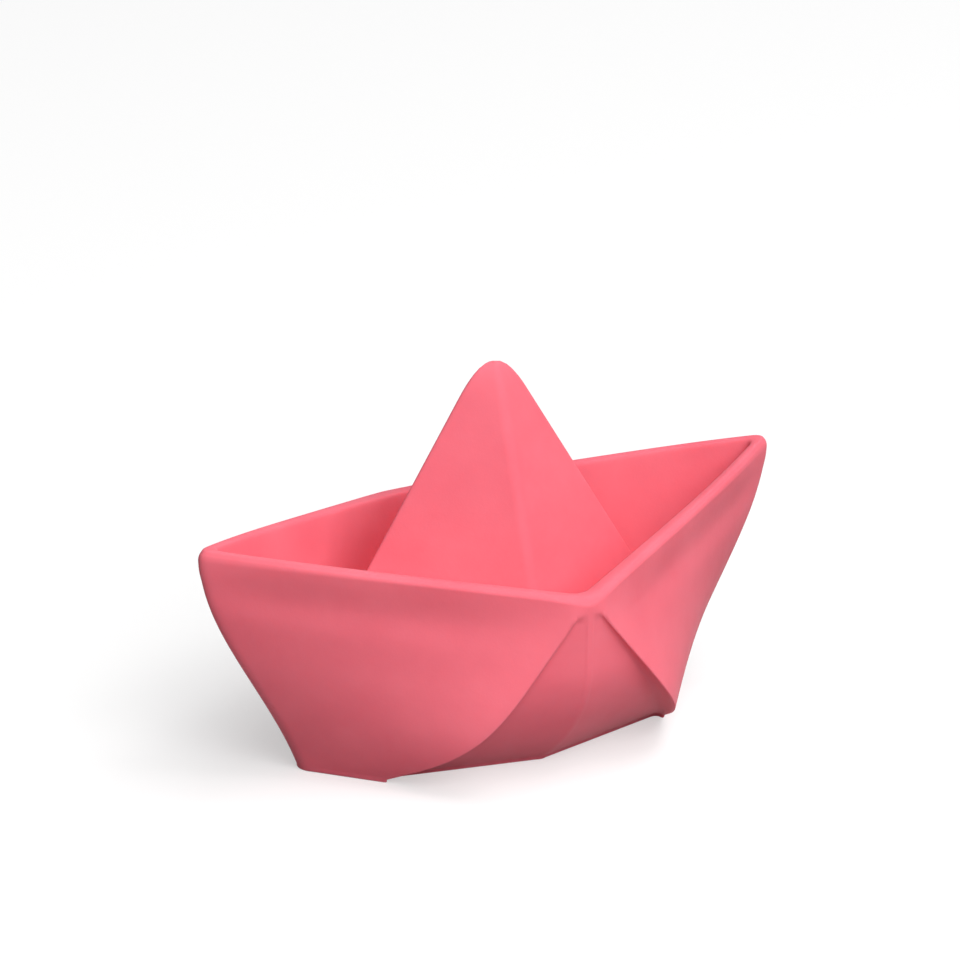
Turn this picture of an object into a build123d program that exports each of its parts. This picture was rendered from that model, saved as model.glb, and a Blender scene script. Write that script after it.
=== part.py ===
from build123d import *
from math import asin, atan2, hypot, radians, sin, tan
import os

os.makedirs("parts", exist_ok=True)

# Overall sizes in millimetres
tip_reach = 59.2
half_beam = 32.0
rim_mid_height = 34.4
rim_tip_height = 44.2
sail_height = 68.0

# Curve of the stem, curve of the flap edge and swell of the side, pulled at four levels
stem_reach = (39.3, 44.8, 61.4, tip_reach)
edge_reach = (12.5, 31.0, -14.5, 8.0)
side_swell = (0.0, 0.5, 2.5, 2.0)

# Notch between two flaps: half width at its top and at the foot, height of its top
notch_top = 2.4
notch_foot = 29.0
notch_height = 31.2
panel_angle = 13.0

# Middle of the hull: how far it draws in at the foot, and the height where that starts
tuck = 15.0
tuck_height = 22.0

# Wall at the rim in the middle and at the tips, extra thickness per millimetre down, floor of the wells
rim_wall = 3.4
tip_wall = 2.3
wall_slope = 0.14
well_floor = 21.0

# Sail: half length and half depth where it stands on the floor of the wells
sail_reach = 34.1
sail_depth = 17.7

# Rounding
stem_round = 2.0
shoulder_round = 3.0
rim_round = 1.0
rim_bend_round = 8.0
base_round = 0.3
well_end_round = 2.0
well_side_round = 4.0
well_floor_round = 2.5
sail_side_round = 0.8
sail_front_round = 2.0
sail_tip_round = 6.6

top_level = rim_tip_height + 2
side_share = 1.12
stem_slant = 1.83
edge_slant = 2.26


# Control points of one curved side: three across the beam, four up the side
def side_net(inset):
    net = []
    for k in range(4):
        z = top_level * k / 3
        c0 = stem_reach[k]
        c1 = edge_reach[k] - stem_reach[k] + 4 * side_swell[k]
        c2 = -4 * side_swell[k]
        if inset:
            wall = tip_wall + wall_slope * (rim_tip_height - z)
            drop = wall_slope * (rim_tip_height - rim_mid_height) - rim_wall + tip_wall
            c0 -= stem_slant * wall
            c1 -= (edge_slant - stem_slant) * wall - stem_slant * drop
            c2 += (edge_slant - stem_slant) * drop
        c1 *= side_share
        c2 *= side_share**2
        reach = (c0, c0 + c1 / 2, c0 + c1 + c2)
        net.append([(reach[j], -half_beam * side_share * j / 2, z) for j in range(3)])
    return net


# Four curved sides closed into one pointed block
def pointed_block(inset):
    side = Face.make_bezier_surface(side_net(inset))
    quarter = Solid.extrude(side, Vector(-3 * tip_reach, 0, 0))
    half = quarter.fuse(quarter.mirror(Plane.XZ))
    return half & half.mirror(Plane.YZ)


def upright(edge):
    return abs(edge.tangent_at(0.5).Z) > 0.5


def on_middle(edge):
    return abs(edge.center().X) < 0.1


def on_keel(edge):
    return abs(edge.center().Y) < 0.1


# Top faces of the rim, and the edges that run along the rim and not across it
def rim_edges(shape, outer):
    edges = ShapeList()
    for face in shape.faces():
        if face.normal_at().Z > 0.9 and face.center().Z > rim_mid_height - 1:
            for edge in face.edges():
                middle = edge.position_at(0.5)
                share = abs(middle.X) / (tip_reach - stem_round) + abs(middle.Y) / half_beam
                across = abs(edge.tangent_at(0.5).Y) > 0.99 and on_rim_bend(edge)
                if not across and (share > 0.95) == outer:
                    edges.append(edge)
    return edges


def on_rim_bend(edge):
    return abs(edge.center().X) < rim_bend_round / 4 and edge.length > 1


# Side view of the sail, down into the floor of the wells, and the same with its tip still sharp
sail_foot = well_floor - 3
rise = sail_height - well_floor - sail_tip_round
sail_lean = atan2(sail_reach, rise) - asin(sail_tip_round / hypot(rise, sail_reach))
sharp_height = sail_height + sail_tip_round * (1 / sin(sail_lean) - 1)
with BuildSketch(Plane.XZ) as sharp_side:
    reach = (sharp_height - sail_foot) * tan(sail_lean)
    with BuildLine():
        Polyline((-reach, sail_foot), (0, sharp_height), (reach, sail_foot), close=True)
    make_face()
with BuildSketch(Plane.XZ) as round_side:
    add(sharp_side.sketch)
    fillet(round_side.vertices().sort_by(Axis.Y)[-1], sail_tip_round)


# A side view of the sail swept along one pair of its leaning faces
def swept(side, along):
    return Solid.extrude(side.sketch.face().moved(Location(along * -2)), along * 4)


along = Vector(sail_reach, sail_depth, 0)
across = Vector(sail_reach, -sail_depth, 0)
with BuildPart() as sail:
    add(swept(sharp_side, along) & swept(sharp_side, across))
    with BuildSketch(Plane.XY.offset(sail_height)):
        Rectangle(sail_reach, sail_reach)
    extrude(amount=sharp_height, mode=Mode.SUBTRACT)
    fillet(sail.edges().filter_by(upright).filter_by(on_keel), sail_side_round)
    fillet(sail.edges().filter_by(upright).filter_by(on_middle), sail_front_round)

# The two open wells, as one space that the sail stands in
with BuildPart() as wells:
    add(pointed_block(True))
    with BuildSketch():
        Rectangle(4 * tip_reach, 4 * half_beam)
    extrude(amount=well_floor, mode=Mode.SUBTRACT)
    fillet(wells.edges().filter_by(upright).filter_by(on_keel), well_end_round)
    fillet(wells.edges().filter_by(upright).filter_by(on_middle), well_side_round)
    fillet(wells.faces().sort_by(Axis.Z)[0].edges(), well_floor_round)

# Space beside the drawn-in middle of the hull
with BuildSketch(Plane.YZ) as beside:
    with BuildLine():
        Line((half_beam, top_level), (half_beam, tuck_height))
        Spline((half_beam, tuck_height), (half_beam - tuck, 0), tangents=((0, -1), (-1, -0.7)))
        Line((half_beam - tuck, 0), (2 * half_beam, 0))
        Line((2 * half_beam, 0), (2 * half_beam, top_level))
        Line((2 * half_beam, top_level), (half_beam, top_level))
    make_face()

# Space above the rim, which rises from the middle to both tips
with BuildSketch(Plane.XZ) as above:
    span = 1.2 * tip_reach
    rise = rim_mid_height + span * (rim_tip_height - rim_mid_height) / tip_reach
    roof = 2 * rim_tip_height
    with BuildLine():
        Polyline((-span, rise), (0, rim_mid_height), (span, rise), (span, roof), (-span, roof), close=True)
    make_face()
    fillet(above.vertices().sort_by(Axis.Y)[0], rim_bend_round)

# Panel set back from the middle crease, deeper towards the flap edge
with BuildPart() as recess:
    slant = Vector(1, tan(radians(panel_angle)), 0)
    add(Solid.extrude(beside.sketch.mirror(Plane.XZ).face(), slant * tip_reach))
    with BuildSketch(Plane.XZ):
        with BuildLine():
            Polyline((0, notch_height), (notch_top, notch_height), (notch_foot, 0), (0, 0), close=True)
        make_face()
    extrude(amount=2 * half_beam, mode=Mode.INTERSECT)

with BuildPart() as boat:
    add(pointed_block(False))
    extrude(beside.sketch, amount=2 * tip_reach, both=True, mode=Mode.SUBTRACT)
    extrude(beside.sketch.mirror(Plane.XZ), amount=2 * tip_reach, both=True, mode=Mode.SUBTRACT)
    fillet(boat.edges().filter_by(upright).filter_by(on_keel), stem_round)
    shoulders = boat.edges().filter_by(lambda e: abs(e.center().X) > 0.1 and abs(e.center().Y) > 0.98 * half_beam)
    fillet(shoulders.filter_by(upright), shoulder_round)
    extrude(above.sketch, amount=2 * half_beam, both=True, mode=Mode.SUBTRACT)
    fillet(rim_edges(boat, True), rim_round)
    for half in (recess.part, recess.part.mirror(Plane.YZ)):
        add(half, mode=Mode.SUBTRACT)
        add(half.mirror(Plane.XZ), mode=Mode.SUBTRACT)
    fillet(boat.faces().sort_by(Axis.Z)[0].edges(), base_round)
    add(wells.part, mode=Mode.SUBTRACT)
    fillet(rim_edges(boat, False), rim_round)
    add(sail.part & swept(round_side, along) & swept(round_side, across))

boat.part.label = "boat"
export_step(boat.part, "parts/boat.step")
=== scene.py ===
import bpy
import bmesh
import numpy as np
from mathutils import Matrix, Vector


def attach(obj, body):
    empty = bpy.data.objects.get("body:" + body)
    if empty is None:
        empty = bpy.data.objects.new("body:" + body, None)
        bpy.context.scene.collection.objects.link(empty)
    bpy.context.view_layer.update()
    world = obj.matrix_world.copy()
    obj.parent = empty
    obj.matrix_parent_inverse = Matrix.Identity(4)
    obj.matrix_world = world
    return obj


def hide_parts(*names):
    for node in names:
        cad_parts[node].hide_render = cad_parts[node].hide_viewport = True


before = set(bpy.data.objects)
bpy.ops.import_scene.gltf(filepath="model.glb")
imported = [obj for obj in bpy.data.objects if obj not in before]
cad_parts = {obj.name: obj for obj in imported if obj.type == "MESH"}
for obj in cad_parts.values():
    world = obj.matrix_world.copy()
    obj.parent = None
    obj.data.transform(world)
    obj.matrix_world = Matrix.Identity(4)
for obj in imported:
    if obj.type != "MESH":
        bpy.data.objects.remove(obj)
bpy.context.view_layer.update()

# Sizes in millimetres, as in the part's source
TIP_REACH, HALF_BEAM = 59.2, 32.0
RIM_MID, RIM_TIP = 34.4, 44.2
TOP_LEVEL = RIM_TIP + 2
STEM_REACH = (39.3, 44.8, 61.4, 59.2)
EDGE_REACH = (12.5, 31.0, -14.5, 8.0)
SIDE_SWELL = (0.0, 0.5, 2.5, 2.0)
NOTCH_TOP, NOTCH_FOOT, NOTCH_HEIGHT = 2.4, 29.0, 31.2
PANEL_SLOPE = np.tan(np.radians(13.0))
TUCK, TUCK_HEIGHT = 15.0, 22.0
RIM_WALL, WALL_SLOPE, WELL_FLOOR = 3.4, 0.14, 21.0
STEM_SLANT, EDGE_SLANT = 1.83, 2.26

# Wall at the tips, thinner than in the source, because its wide rounding makes it thicker again
TIP_WALL = 1.9

# Sail: height of its rounded and of its sharp tip, half length and half depth per millimetre of drop
SAIL_TOP, SAIL_SHARP = 68.0, 73.52
SAIL_SIDE, SAIL_FRONT = 0.6494, 0.337

# Raised strip on the crease of the panel: its half width, its height and the width of its flank
SEAM_HALF, SEAM_RISE, SEAM_BLEND = 0.62, 0.16, 0.24

# Rim: length of its bend in the middle, and the height that its wide rounding takes off again
RIM_BEND, RIM_LIFT = 0.7, 0.3

# Shoulder: how far it spreads from the notch up to the rim, and the share of it beside the notch
SHOULDER_SPREAD, SHOULDER_STEP = 7.0, 0.12

# Shallow hollow of the flaps: how far below the rim it starts, its height and its depth
HOLLOW_START, HOLLOW_SPAN, HOLLOW_DEPTH = 2.0, 11.0, 0.45

# Widths over which the hollow fades out, beside the stem and beside the flap's edge
HOLLOW_STEM_FADE, HOLLOW_EDGE_FADE = 6.0, 12.0

# Half lengths of the roundings along a ring of points
STEM_ROUND, RIM_TIP_ROUND, MIDDLE_ROUND, CREASE_ROUND = 3.0, 2.6, 2.6, 0.14
LIP_ROUND, FOOT_LIP_ROUND, ROOT_ROUND, NOTCH_ROUND = 0.4, 1.0, 1.6, 0.5
WELL_SIDE_ROUND, SAIL_SIDE_ROUND, SAIL_FRONT_ROUND, SAIL_FOOT_ROUND = 4.6, 1.2, 1.5, 2.5
LEAST_ROUND = 0.12

# Half lengths of the roundings from ring to ring
WALL_BLEND, CEILING_BLEND, RIM_OUT_BLEND, RIM_IN_BLEND = 0.35, 1.1, 2.6, 0.8
WELL_BLEND, SAIL_BLEND, NO_BLEND = 3.0, 0.6, 0.01

# Rounding of the foot, and the width beside the keel over which it fades out
BASE_ROUND, KEEL_FADE = 0.4, 3.0

# Share of a quarter ring over which a corner's rounding fades out, and widths beside the lip's step
CORNER_FADE, LIP_FADE, ROOT_FADE = 0.12, 5.0, 3.0

# Shares of the wall's height, and then of the wells' depth, where the roundings change
CEILING_START, CEILING_SPAN, FOOT_SHARE, WELL_FADE = 0.9, 0.08, 0.15, 0.3

# Drops below the sail's sharp tip where its foot starts and where its tip ends
FOOT_DROP, TIP_DROP = 42.0, 8.0

# Metres in a millimetre
MM = 0.001

# Rounds of each search for a point, and points along the wells' wall
ROUNDS, WELL_POINTS = 30, 400

# Rows of the dense grid: wall, shoulder, top of the rim, wells' wall, wells' floor and sail
WALL_ROWS, SHOULDER_ROWS, RIM_ROWS, WELL_ROWS, FLOOR_ROWS, SAIL_ROWS = 150, 30, 34, 90, 26, 190

# Dense rows at the foot that stay sharp, rows that the mesh keeps, and the gap between them
FOOT_ROWS, ROWS_KEPT, ROW_GAP = 6, 205, 1.3

# Bends: rows that each gathers, the least width it does so over, and the turn that counts as one
BEND_ROWS, LEAST_SPREAD, BEND_TURN = 2.2, 0.3, 0.12

# Kept columns where the bends are looked for
BEND_COLUMNS = (0, 40, 52, 60, 75, 86)

# Columns kept on a flap, on its step and on a panel, and how hard they are pulled to the ends
FLAP_COLUMNS, STEP_COLUMNS, PANEL_COLUMNS = 53, 6, 30
FLAP_PULL, PANEL_PULL = 0.45, 0.5

# Studio, in metres: the way it faces, in degrees, its floor and backdrop, and what the lamps aim at
STUDIO_HEADING = 57.71
FLOOR_HALF, FLOOR_REACH, COVE_RADIUS, BACKDROP_HEIGHT = 3.0, 1.6, 0.6, 2.4
FLOOR_GLOW = 0.5
LAMP_REACH, LAMP_SIZE = 2.5, 1.4
BOAT_MIDDLE = Vector((0, 0, 0.03))

# Each lamp's turn from the camera's side and its rise, in degrees, and its power in watts
LAMPS = {
    "front": (0, 35, 16.4),
    "front_right": (30, 35, 28.1),
    "right": (40, 55, 17.5),
    "far_right": (80, 55, 11.0),
    "top": (90, 75, 26.3),
}

# Camera, at the photograph's viewing angle: its angles in degrees, its place in metres and its lens
CAMERA_HEADING, CAMERA_FALL, CAMERA_ROLL = 57.4752, 20.0494, 0.8021
CAMERA_PLACE = Vector((-0.49858, -0.77830, 0.38338))
CAMERA_LENS = 212.66


# Shape of the hull
def levels(z, inset):
    """Curve of one side at height z: its reach at the keel, its slope and its swell."""
    c = []
    for k in range(4):
        zk = TOP_LEVEL * k / 3
        c0 = STEM_REACH[k]
        c1 = EDGE_REACH[k] - STEM_REACH[k] + 4 * SIDE_SWELL[k]
        c2 = -4 * SIDE_SWELL[k]
        if inset:
            wall = TIP_WALL + WALL_SLOPE * (RIM_TIP - zk)
            drop = WALL_SLOPE * (RIM_TIP - RIM_MID) - RIM_WALL + TIP_WALL
            c0 -= STEM_SLANT * wall
            c1 -= (EDGE_SLANT - STEM_SLANT) * wall - STEM_SLANT * drop
            c2 += (EDGE_SLANT - STEM_SLANT) * drop
        c.append((c0, c1, c2))
    v = np.asarray(z, float) / TOP_LEVEL
    share = ((1 - v) ** 3, 3 * v * (1 - v) ** 2, 3 * v * v * (1 - v), v**3)
    return [sum(share[k] * c[k][j] for k in range(4)) for j in range(3)]


def side_x(y, z, inset=False):
    """Reach of one side at half beam y and height z."""
    c0, c1, c2 = levels(z, inset)
    s = np.abs(y) / HALF_BEAM
    return c0 + c1 * s + c2 * s * s


def side_y(x, z, inset=False):
    """Half beam of one side at reach x and height z."""
    c0, c1, c2 = levels(z, inset)
    gap = np.maximum(c0 - x, 0)
    return HALF_BEAM * 2 * gap / (-c1 + np.sqrt(np.maximum(c1 * c1 - 4 * c2 * gap, 1e-9)))


def rim_z(x):
    return RIM_MID + RIM_LIFT + (RIM_TIP - RIM_MID) * np.hypot(x, RIM_BEND) / TIP_REACH


def notch_x(z):
    return NOTCH_TOP + (NOTCH_HEIGHT - z) * (NOTCH_FOOT - NOTCH_TOP) / NOTCH_HEIGHT


def middle_y(z):
    """Half beam of the drawn-in middle at height z."""
    t = np.linspace(0, 1, 200)
    reach = np.hypot(TUCK, TUCK_HEIGHT)
    slant = np.array((-1, -0.7)) / np.hypot(1, 0.7) * reach
    h = (2 * t**3 - 3 * t**2 + 1, t**3 - 2 * t**2 + t, -2 * t**3 + 3 * t**2, t**3 - t**2)
    yy = h[0] * HALF_BEAM + h[2] * (HALF_BEAM - TUCK) + h[3] * slant[0]
    zz = h[0] * TUCK_HEIGHT - h[1] * reach + h[3] * slant[1]
    return np.where(z >= TUCK_HEIGHT, HALF_BEAM, np.interp(z, zz[::-1], yy[::-1]))


def smooth_step(t):
    t = np.clip(t, 0, 1)
    return t * t * (3 - 2 * t)


# Dense columns of one quarter, from the stem to the middle: flap, step behind its lip, panel
FLAP = np.linspace(0, 1, 241)
STEP = np.linspace(0, 1, 13)[1:]
PANEL = np.linspace(0, 1, 121)[1:]
NOTCH_SHARE = NOTCH_HEIGHT / float(rim_z(NOTCH_TOP))


def outer_row(t, above):
    """One quarter of the outer wall at share t of its height, above or below the notch's ceiling."""
    x_lip = NOTCH_TOP
    for _ in range(ROUNDS):
        z_lip = t * float(rim_z(x_lip))
        if above:
            x_lip = NOTCH_TOP + SHOULDER_SPREAD * smooth_step((t - NOTCH_SHARE) / (1 - NOTCH_SHARE))
        else:
            x_lip = float(notch_x(z_lip))
    y_lip = min(float(side_y(x_lip, z_lip)), HALF_BEAM)
    y = FLAP * y_lip
    x = np.full_like(y, x_lip)
    for _ in range(ROUNDS):
        x = side_x(y, t * rim_z(x))
    x[-1] = x_lip
    z = t * rim_z(x)
    below = np.clip((rim_z(x) - z - HOLLOW_START) / HOLLOW_SPAN, 0, 1)
    fade = smooth_step(y / HOLLOW_STEM_FADE) * smooth_step((y_lip - y) / HOLLOW_EDGE_FADE)
    hollow = HOLLOW_DEPTH * np.sin(np.pi * below) ** 2 * fade
    slant = np.hypot(1, STEM_SLANT)
    flap = np.stack([x - hollow / slant, -y + hollow * STEM_SLANT / slant, z], 1)
    if above:
        f = np.concatenate([SHOULDER_STEP * STEP, SHOULDER_STEP + (1 - SHOULDER_STEP) * PANEL])
        xb = x_lip * (1 - f)
        lift = (rim_z(xb) - rim_z(x_lip)) * (t - NOTCH_SHARE) / (1 - NOTCH_SHARE)
        zb = z_lip + lift
        yb = np.minimum(side_y(xb, zb), HALF_BEAM)
        rest = np.stack([xb, -yb, zb], 1)
    else:
        y_in = min(float(middle_y(z_lip)) - x_lip * PANEL_SLOPE, y_lip)
        ys = y_lip + (y_in - y_lip) * STEP
        step = np.stack([np.full_like(ys, x_lip), -ys, np.full_like(ys, z_lip)], 1)
        xp = x_lip * (1 - PANEL)
        seam = smooth_step((SEAM_HALF + SEAM_BLEND / 2 - xp) / SEAM_BLEND) * SEAM_RISE
        yp = float(middle_y(z_lip)) - np.maximum(xp - SEAM_HALF, 0) * PANEL_SLOPE + seam - SEAM_RISE
        panel = np.stack([xp, -yp, np.full_like(xp, z_lip)], 1)
        rest = np.concatenate([step, panel])
    return np.concatenate([flap, rest])


def lengths(points):
    """Distance of every point from the first one, along the polyline."""
    d = np.linalg.norm(np.diff(points, axis=0), axis=1)
    return np.concatenate([[0], np.cumsum(d)])


def share_along(row):
    """The same as seen from above, as a share of the whole length."""
    s = lengths(row[:, :2])
    return s / s[-1]


def inner_row(w, q):
    """One quarter of the wells' wall at share w of its height, at the shares q of its length."""
    y_mid = float(side_y(0.0, WELL_FLOOR + w * (float(rim_z(0.0)) - WELL_FLOOR), True))
    y = np.linspace(0, 1, WELL_POINTS) * y_mid
    x = np.zeros_like(y)
    for _ in range(ROUNDS):
        z = WELL_FLOOR + w * (rim_z(np.maximum(x, 0)) - WELL_FLOOR)
        x = side_x(y, z, True)
    x[-1] = 0
    row = np.stack([x, -y, z], 1)
    s = share_along(row)
    return np.stack([np.interp(q, s, row[:, k]) for k in range(3)], 1)


def sail_row(drop, q):
    """One quarter of the sail at a drop below its sharp tip; a parabola rounds the tip off."""
    soft = 2 * (SAIL_SHARP - SAIL_TOP)
    z = SAIL_SHARP - drop if drop > soft else SAIL_TOP - drop * drop / (2 * soft)
    return np.stack([drop * SAIL_SIDE * (1 - q), -drop * SAIL_FRONT * q, np.full_like(q, z)], 1)


def around(quarter):
    """The whole ring from one quarter, by mirroring."""
    half = np.concatenate([quarter, quarter[::-1][1:] * (-1, 1, 1)])
    back = half[::-1][1:-1] * (1, -1, 1)
    return np.concatenate([half, back])


def blur(points, width, closed, at):
    """Mean of a polyline over a stretch of half length width round each index in at."""
    if closed:
        n = len(points)
        points = np.concatenate([points, points, points, points[:1]])
        width = np.concatenate([width, width, width, width[:1]])
        at = np.asarray(at) + n
    s = np.concatenate([[0], np.cumsum(np.linalg.norm(np.diff(points, axis=0), axis=1) + 1e-7)])
    area = np.zeros_like(points)
    area[1:] = np.cumsum((points[1:] + points[:-1]) / 2 * np.diff(s)[:, None], axis=0)
    c = np.interp(at, np.arange(len(s)), s)
    w = np.minimum(np.interp(at, np.arange(len(s)), width), np.minimum(c - s[0], s[-1] - c))
    w = np.maximum(w, 1e-4)
    lo, hi = np.maximum(c - w, s[0]), np.minimum(c + w, s[-1])
    out = [np.interp(hi, s, area[:, k]) - np.interp(lo, s, area[:, k]) for k in range(3)]
    return np.stack(out, 1) / (hi - lo)[:, None]


def corner_width(quarter, at_stem, at_middle, at_lip=None, at_root=0.0):
    """Half length of the rounding along one ring, by the distance from the nearest corner."""
    s = lengths(quarter)
    fade = s[-1] * CORNER_FADE
    w = at_stem * (1 - smooth_step((s - at_stem) / (fade + at_stem)))
    past_middle = s[-1] - s - at_middle
    w = np.maximum(w, at_middle * (1 - smooth_step(past_middle / (fade + at_middle))))
    if at_lip is not None:
        k = len(FLAP) - 1
        root = k + len(STEP)
        depth = s[root] - s[k]
        at_root = min(at_root, 0.8 * depth)
        near = 1 - smooth_step((s[k] - s) / LIP_FADE)
        w[:k] = w[:k] * (1 - near[:k]) + at_lip * near[:k]
        w[k:root] = np.linspace(at_lip, at_root, len(STEP))
        away = smooth_step((s[root:] - s[root] - at_root) / ROOT_FADE)
        w[root:] = at_root * (1 - away) + w[root:] * away
    w = np.maximum(w, LEAST_ROUND)
    half = np.concatenate([w, w[::-1][1:]])
    return np.concatenate([half, half[::-1][1:-1]])


def hull_grid():
    """Rings from the foot over the rim, down the wells and up the sail, with their roundings."""
    rows, widths, tall = [], [], []

    def put(quarter, stem, middle, up, lip=None, root=0.0):
        rows.append(around(quarter))
        widths.append(corner_width(quarter, stem, middle, lip, root))
        tall.append(up)

    # Outer wall with the notch, and above the notch's ceiling the shoulder
    for t in np.linspace(0, NOTCH_SHARE, WALL_ROWS):
        near = smooth_step((t / NOTCH_SHARE - CEILING_START) / CEILING_SPAN)
        low = 1 - smooth_step(t / FOOT_SHARE)
        up = WALL_BLEND + (CEILING_BLEND - WALL_BLEND) * near
        lip = LIP_ROUND + (FOOT_LIP_ROUND - LIP_ROUND) * low
        put(outer_row(t, False), STEM_ROUND, CREASE_ROUND, up, lip, ROOT_ROUND)
    for t in np.linspace(NOTCH_SHARE, 1, SHOULDER_ROWS):
        last = outer_row(t, True)
        rise = smooth_step((t - NOTCH_SHARE) / (0.8 * (1 - NOTCH_SHARE)))
        middle = NOTCH_ROUND + (MIDDLE_ROUND - NOTCH_ROUND) * rise
        put(last, RIM_TIP_ROUND, middle, CEILING_BLEND + (RIM_OUT_BLEND - CEILING_BLEND) * rise)
    # Top of the rim, wall and floor of the wells, and the sail
    q_rim = share_along(last)
    q_rim = q_rim * 0.9 + 0.1 * np.linspace(0, 1, len(q_rim))
    inner = inner_row(1.0, q_rim)
    for f in np.linspace(0, 1, RIM_ROWS)[1:-1]:
        flat = last * (1 - f) + inner * f
        flat[:, 2] = rim_z(flat[:, 0])
        put(flat, RIM_TIP_ROUND, MIDDLE_ROUND, RIM_OUT_BLEND + (RIM_IN_BLEND - RIM_OUT_BLEND) * f)
    for w in np.linspace(1, 0, WELL_ROWS):
        side = WELL_SIDE_ROUND + (MIDDLE_ROUND - WELL_SIDE_ROUND) * w
        up = RIM_IN_BLEND + (WELL_BLEND - RIM_IN_BLEND) * smooth_step((1 - w) / WELL_FADE)
        put(inner_row(w, q_rim), STEM_ROUND, side, up)
    foot = inner_row(0.0, q_rim)
    sail_foot = sail_row(SAIL_SHARP - WELL_FLOOR, q_rim)
    for f in np.linspace(0, 1, FLOOR_ROWS)[1:-1]:
        put(foot * (1 - f) + sail_foot * f, SAIL_FOOT_ROUND, WELL_BLEND, SAIL_FOOT_ROUND)
    for drop in np.linspace(SAIL_SHARP - WELL_FLOOR, 0.05, SAIL_ROWS):
        small = min(1.0, drop / TIP_DROP)
        up = SAIL_FOOT_ROUND if drop > FOOT_DROP else SAIL_BLEND
        put(sail_row(drop, q_rim), SAIL_SIDE_ROUND * small, SAIL_FRONT_ROUND * small, up)
    return rows, widths, tall


def gathered(count, pull):
    """Shares from 0 to 1 that are pulled closer together at both ends."""
    a = np.linspace(0, 1, count)
    return (1 - pull) * a + pull * (a - np.sin(2 * np.pi * a) / (2 * np.pi))


def kept_columns():
    """Columns that the mesh keeps: close together at the stem, at the lip and at the middle."""
    n_flap, n_step, n_panel = len(FLAP) - 1, len(STEP), len(PANEL)
    flap = gathered(FLAP_COLUMNS, FLAP_PULL) * n_flap
    step = n_flap + np.linspace(0, 1, STEP_COLUMNS)[1:] * n_step
    panel = n_flap + n_step + gathered(PANEL_COLUMNS, PANEL_PULL)[1:] * n_panel
    quarter = np.concatenate([flap, step, panel])
    last = n_flap + n_step + n_panel
    half = np.concatenate([quarter, 2 * last - quarter[::-1][1:]])
    return np.concatenate([half, 4 * last - half[::-1][1:-1]])


def build_mesh():
    """Rounded rings of the whole boat, thinned out to the rows and columns that the mesh keeps."""
    rows, widths, tall = hull_grid()
    keep = kept_columns()
    grid = np.stack([blur(r, w, True, keep) for r, w in zip(rows, widths)])
    n_rows = len(rows)
    tall = np.array(tall)
    # Rows that the mesh keeps: close together at every bend
    turn = np.zeros(n_rows)
    for c in BEND_COLUMNS:
        p = grid[:, c]
        d = np.diff(p, axis=0)
        d /= np.linalg.norm(d, axis=1)[:, None] + 1e-9
        angle = np.arccos(np.clip((d[1:] * d[:-1]).sum(1), -1, 1))
        turn[1:-1] = np.maximum(turn[1:-1], angle)
    need = np.zeros(n_rows)
    mean_step = np.linalg.norm(np.diff(grid[:, ::8], axis=0), axis=2).mean(1)
    need[1:] = mean_step / ROW_GAP
    s_mid = np.concatenate([[0], np.cumsum(mean_step)])
    step = np.concatenate([[0], mean_step])
    for k in np.nonzero(turn > BEND_TURN)[0]:
        spread = max(tall[k], LEAST_SPREAD)
        need += BEND_ROWS * np.exp(-(((s_mid - s_mid[k]) / spread) ** 2)) * step / spread
    total = np.concatenate([[0], np.cumsum(need[1:])])
    keep_rows = np.interp(np.linspace(0, total[-1], ROWS_KEPT), total, np.arange(n_rows))
    out = []
    for c in range(grid.shape[1]):
        p = grid[:, c]
        mirror = p[::-1][1:] * (-1, -1, 1)
        full = np.concatenate([p, mirror])
        width = np.concatenate([tall, tall[::-1][1:]])
        width[:FOOT_ROWS] = NO_BLEND
        out.append(blur(full, width, False, keep_rows))
    return np.stack(out, 1)


def base_rings(ring):
    """Small rounding where the hull meets what it stands on."""
    x, y = np.abs(ring[:, 0]), np.abs(ring[:, 1])
    share_x = smooth_step((x - NOTCH_FOOT) / (STEM_REACH[0] - NOTCH_FOOT))
    share_y = smooth_step(y / KEEL_FADE)
    away = np.sign(ring[:, :2]) * np.stack([share_x, share_y], 1)
    rings = []
    for a in np.linspace(0, np.pi / 2, 5)[:-1]:
        r = ring.copy()
        r[:, :2] -= away * BASE_ROUND * (1 - np.sin(a))
        r[:, 2] = BASE_ROUND * (1 - np.cos(a))
        rings.append(r)
    return rings


def placed(name, data):
    """New object in the scene that holds a mesh, a lamp or a camera."""
    obj = bpy.data.objects.new(name, data)
    bpy.context.scene.collection.objects.link(obj)
    return obj


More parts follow.
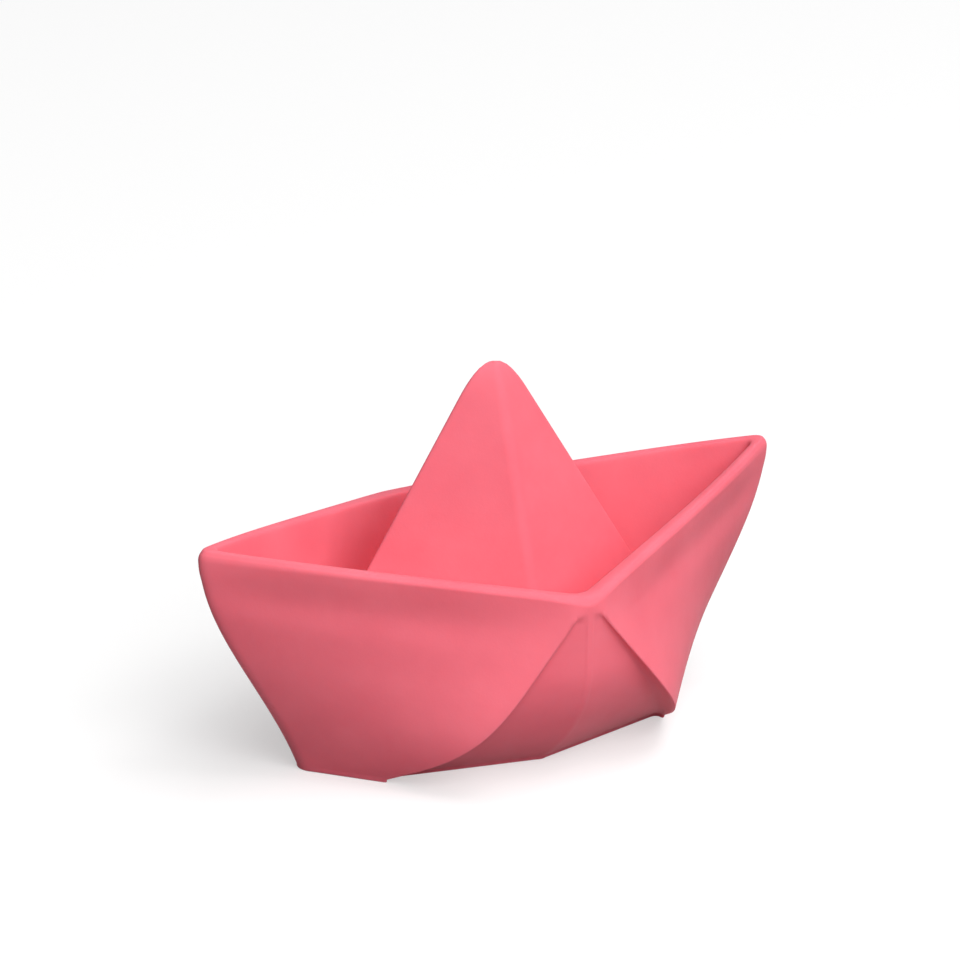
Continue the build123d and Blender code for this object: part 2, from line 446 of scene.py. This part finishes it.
def make_boat():
    """One closed mesh from the rings, with its foot and the tip of the sail filled."""
    g = build_mesh()
    low = g[:, :, 2].max(1) > BASE_ROUND
    first = int(np.argmax(low))
    ring0 = g[first].copy()
    ring0[:, 2] = BASE_ROUND
    rings = base_rings(ring0) + [g[k] for k in range(first, len(g) - 1)]
    n = g.shape[1]
    verts = np.concatenate(rings) * MM
    faces = []
    for r in range(len(rings) - 1):
        a, b = r * n, (r + 1) * n
        for c in range(n):
            d = (c + 1) % n
            faces.append((a + c, a + d, b + d, b + c))
    faces.append(tuple(range(n))[::-1])
    top = len(verts)
    verts = np.concatenate([verts, [g[-1].mean(0) * MM]])
    last = (len(rings) - 1) * n
    for c in range(n):
        faces.append((last + c, last + (c + 1) % n, top))
    mesh = bpy.data.meshes.new("rubber_boat")
    mesh.from_pydata([tuple(v) for v in verts], [], faces)
    bm = bmesh.new()
    bm.from_mesh(mesh)
    bmesh.ops.remove_doubles(bm, verts=bm.verts, dist=2e-6)
    bmesh.ops.dissolve_degenerate(bm, edges=bm.edges, dist=1e-6)
    bmesh.ops.recalc_face_normals(bm, faces=bm.faces)
    if bm.calc_volume(signed=True) < 0:
        bmesh.ops.reverse_faces(bm, faces=bm.faces)
    bm.to_mesh(mesh)
    bm.free()
    for p in mesh.polygons:
        p.use_smooth = True
    mesh.update()
    return placed("rubber_boat", mesh)


# Material
def rubber():
    mat = bpy.data.materials.new("soft_rubber")
    mat.use_nodes = True
    nt = mat.node_tree
    bsdf = nt.nodes["Principled BSDF"]
    bsdf.inputs["Specular IOR Level"].default_value = 0.08
    bsdf.inputs["Subsurface Weight"].default_value = 0.25
    bsdf.inputs["Subsurface Radius"].default_value = (1.0, 0.25, 0.2)
    bsdf.inputs["Subsurface Scale"].default_value = 0.0022
    coord = nt.nodes.new("ShaderNodeTexCoord")

    def noise(scale, detail):
        n = nt.nodes.new("ShaderNodeTexNoise")
        n.inputs["Scale"].default_value = scale
        n.inputs["Detail"].default_value = detail
        nt.links.new(coord.outputs["Object"], n.inputs["Vector"])
        return n

    # Faint clouding of the colour
    cloud = noise(55, 4)
    ramp = nt.nodes.new("ShaderNodeValToRGB")
    ramp.color_ramp.elements[0].position = 0.3
    ramp.color_ramp.elements[0].color = (0.83, 0.149, 0.198, 1)
    ramp.color_ramp.elements[1].position = 0.7
    ramp.color_ramp.elements[1].color = (0.89, 0.180, 0.232, 1)
    nt.links.new(cloud.outputs["Fac"], ramp.inputs["Fac"])
    nt.links.new(ramp.outputs["Color"], bsdf.inputs["Base Color"])
    # Roughness that varies a little
    sheen = noise(160, 3)
    span = nt.nodes.new("ShaderNodeMapRange")
    span.inputs["To Min"].default_value = 0.5
    span.inputs["To Max"].default_value = 0.62
    nt.links.new(sheen.outputs["Fac"], span.inputs["Value"])
    nt.links.new(span.outputs["Result"], bsdf.inputs["Roughness"])
    # Fine skin of moulded rubber over a soft unevenness
    fine = noise(2600, 2)
    broad = noise(120, 3)
    skin = nt.nodes.new("ShaderNodeBump")
    skin.inputs["Strength"].default_value = 0.10
    skin.inputs["Distance"].default_value = 0.0002
    nt.links.new(fine.outputs["Fac"], skin.inputs["Height"])
    wave = nt.nodes.new("ShaderNodeBump")
    wave.inputs["Strength"].default_value = 0.2
    wave.inputs["Distance"].default_value = 0.0008
    nt.links.new(broad.outputs["Fac"], wave.inputs["Height"])
    nt.links.new(skin.outputs["Normal"], wave.inputs["Normal"])
    nt.links.new(wave.outputs["Normal"], bsdf.inputs["Normal"])
    return mat


boat = make_boat()
boat.data.materials.append(rubber())
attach(boat, "root")
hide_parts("boat")


# Floor, backdrop and light
def level_way(turn):
    """Level direction, turned from the x axis by so many degrees."""
    return Vector((np.cos(np.radians(turn)), np.sin(np.radians(turn)), 0))


VIEW_AHEAD, VIEW_RIGHT = level_way(STUDIO_HEADING), level_way(STUDIO_HEADING - 90)


def floor_piece():
    """Floor that runs up into a backdrop through a quarter round."""
    profile = [(-FLOOR_REACH, 0.0)]
    for a in np.linspace(0, np.pi / 2, 17):
        profile.append((FLOOR_REACH + COVE_RADIUS * np.sin(a), COVE_RADIUS * (1 - np.cos(a))))
    profile.append((FLOOR_REACH + COVE_RADIUS, BACKDROP_HEIGHT))
    verts, faces = [], []
    for u, z in profile:
        for s in (-FLOOR_HALF, FLOOR_HALF):
            verts.append(tuple(VIEW_AHEAD * u + VIEW_RIGHT * s + Vector((0, 0, z))))
    for k in range(len(profile) - 1):
        faces.append((2 * k, 2 * k + 1, 2 * k + 3, 2 * k + 2))
    mesh = bpy.data.meshes.new("studio_floor")
    mesh.from_pydata(verts, [], faces)
    for p in mesh.polygons:
        p.use_smooth = True
    return placed("studio_floor", mesh)


def studio_paper():
    """White to the camera and in reflections, and a plain grey to the light that it throws back."""
    mat = bpy.data.materials.new("studio_paper")
    mat.use_nodes = True
    nt = mat.node_tree
    nt.nodes.clear()
    path = nt.nodes.new("ShaderNodeLightPath")
    seen = nt.nodes.new("ShaderNodeBsdfDiffuse")
    seen.inputs["Color"].default_value = (0.5, 0.5, 0.5, 1)
    glow = nt.nodes.new("ShaderNodeEmission")
    glow.inputs["Strength"].default_value = FLOOR_GLOW
    both = nt.nodes.new("ShaderNodeAddShader")
    bounce = nt.nodes.new("ShaderNodeBsdfDiffuse")
    bounce.inputs["Color"].default_value = (0.3, 0.3, 0.3, 1)
    pick = nt.nodes.new("ShaderNodeMixShader")
    out = nt.nodes.new("ShaderNodeOutputMaterial")
    nt.links.new(seen.outputs["BSDF"], both.inputs[0])
    nt.links.new(glow.outputs["Emission"], both.inputs[1])
    straight = nt.nodes.new("ShaderNodeMath")
    straight.operation = "MAXIMUM"
    nt.links.new(path.outputs["Is Glossy Ray"], straight.inputs[0])
    nt.links.new(path.outputs["Is Transmission Ray"], straight.inputs[1])
    direct = nt.nodes.new("ShaderNodeMath")
    direct.operation = "MAXIMUM"
    nt.links.new(path.outputs["Is Camera Ray"], direct.inputs[0])
    nt.links.new(straight.outputs["Value"], direct.inputs[1])
    nt.links.new(direct.outputs["Value"], pick.inputs["Fac"])
    nt.links.new(bounce.outputs["BSDF"], pick.inputs[1])
    nt.links.new(both.outputs["Shader"], pick.inputs[2])
    nt.links.new(pick.outputs["Shader"], out.inputs["Surface"])
    return mat


floor = floor_piece()
floor.data.materials.append(studio_paper())


def soft_lamp(name, turn, rise, power):
    """Square lamp that faces the boat, turned from the camera's side and raised by so many degrees."""
    a, e = np.radians(turn), np.radians(rise)
    way = (VIEW_RIGHT * np.sin(a) - VIEW_AHEAD * np.cos(a)) * np.cos(e) + Vector((0, 0, np.sin(e)))
    lamp = bpy.data.lights.new(name, "AREA")
    lamp.shape = "SQUARE"
    lamp.size = LAMP_SIZE
    lamp.energy = power
    obj = placed(name, lamp)
    obj.location = BOAT_MIDDLE + way * LAMP_REACH
    obj.rotation_euler = (-way).to_track_quat("-Z", "Y").to_euler()


for name, (turn, rise, power) in LAMPS.items():
    soft_lamp(name, turn, rise, power)

world = bpy.data.worlds.new("studio")
world.use_nodes = True
world.node_tree.nodes["Background"].inputs["Color"].default_value = (1, 1, 1, 1)
world.node_tree.nodes["Background"].inputs["Strength"].default_value = 0.03
bpy.context.scene.world = world
bpy.context.scene.view_settings.view_transform = "Standard"


# Camera
def photo_camera():
    cam = bpy.data.cameras.new("camera")
    cam.lens, cam.sensor_width = CAMERA_LENS, 36.0
    cam.clip_start, cam.clip_end = 0.01, 20
    camera = placed("camera", cam)
    heading = Matrix.Rotation(np.radians(CAMERA_HEADING - 90), 4, "Z")
    fall = Matrix.Rotation(np.radians(90 - CAMERA_FALL), 4, "X")
    roll = Matrix.Rotation(np.radians(CAMERA_ROLL), 4, "Z")
    camera.matrix_world = Matrix.Translation(CAMERA_PLACE) @ heading @ fall @ roll
    return camera


bpy.context.scene.camera = photo_camera()
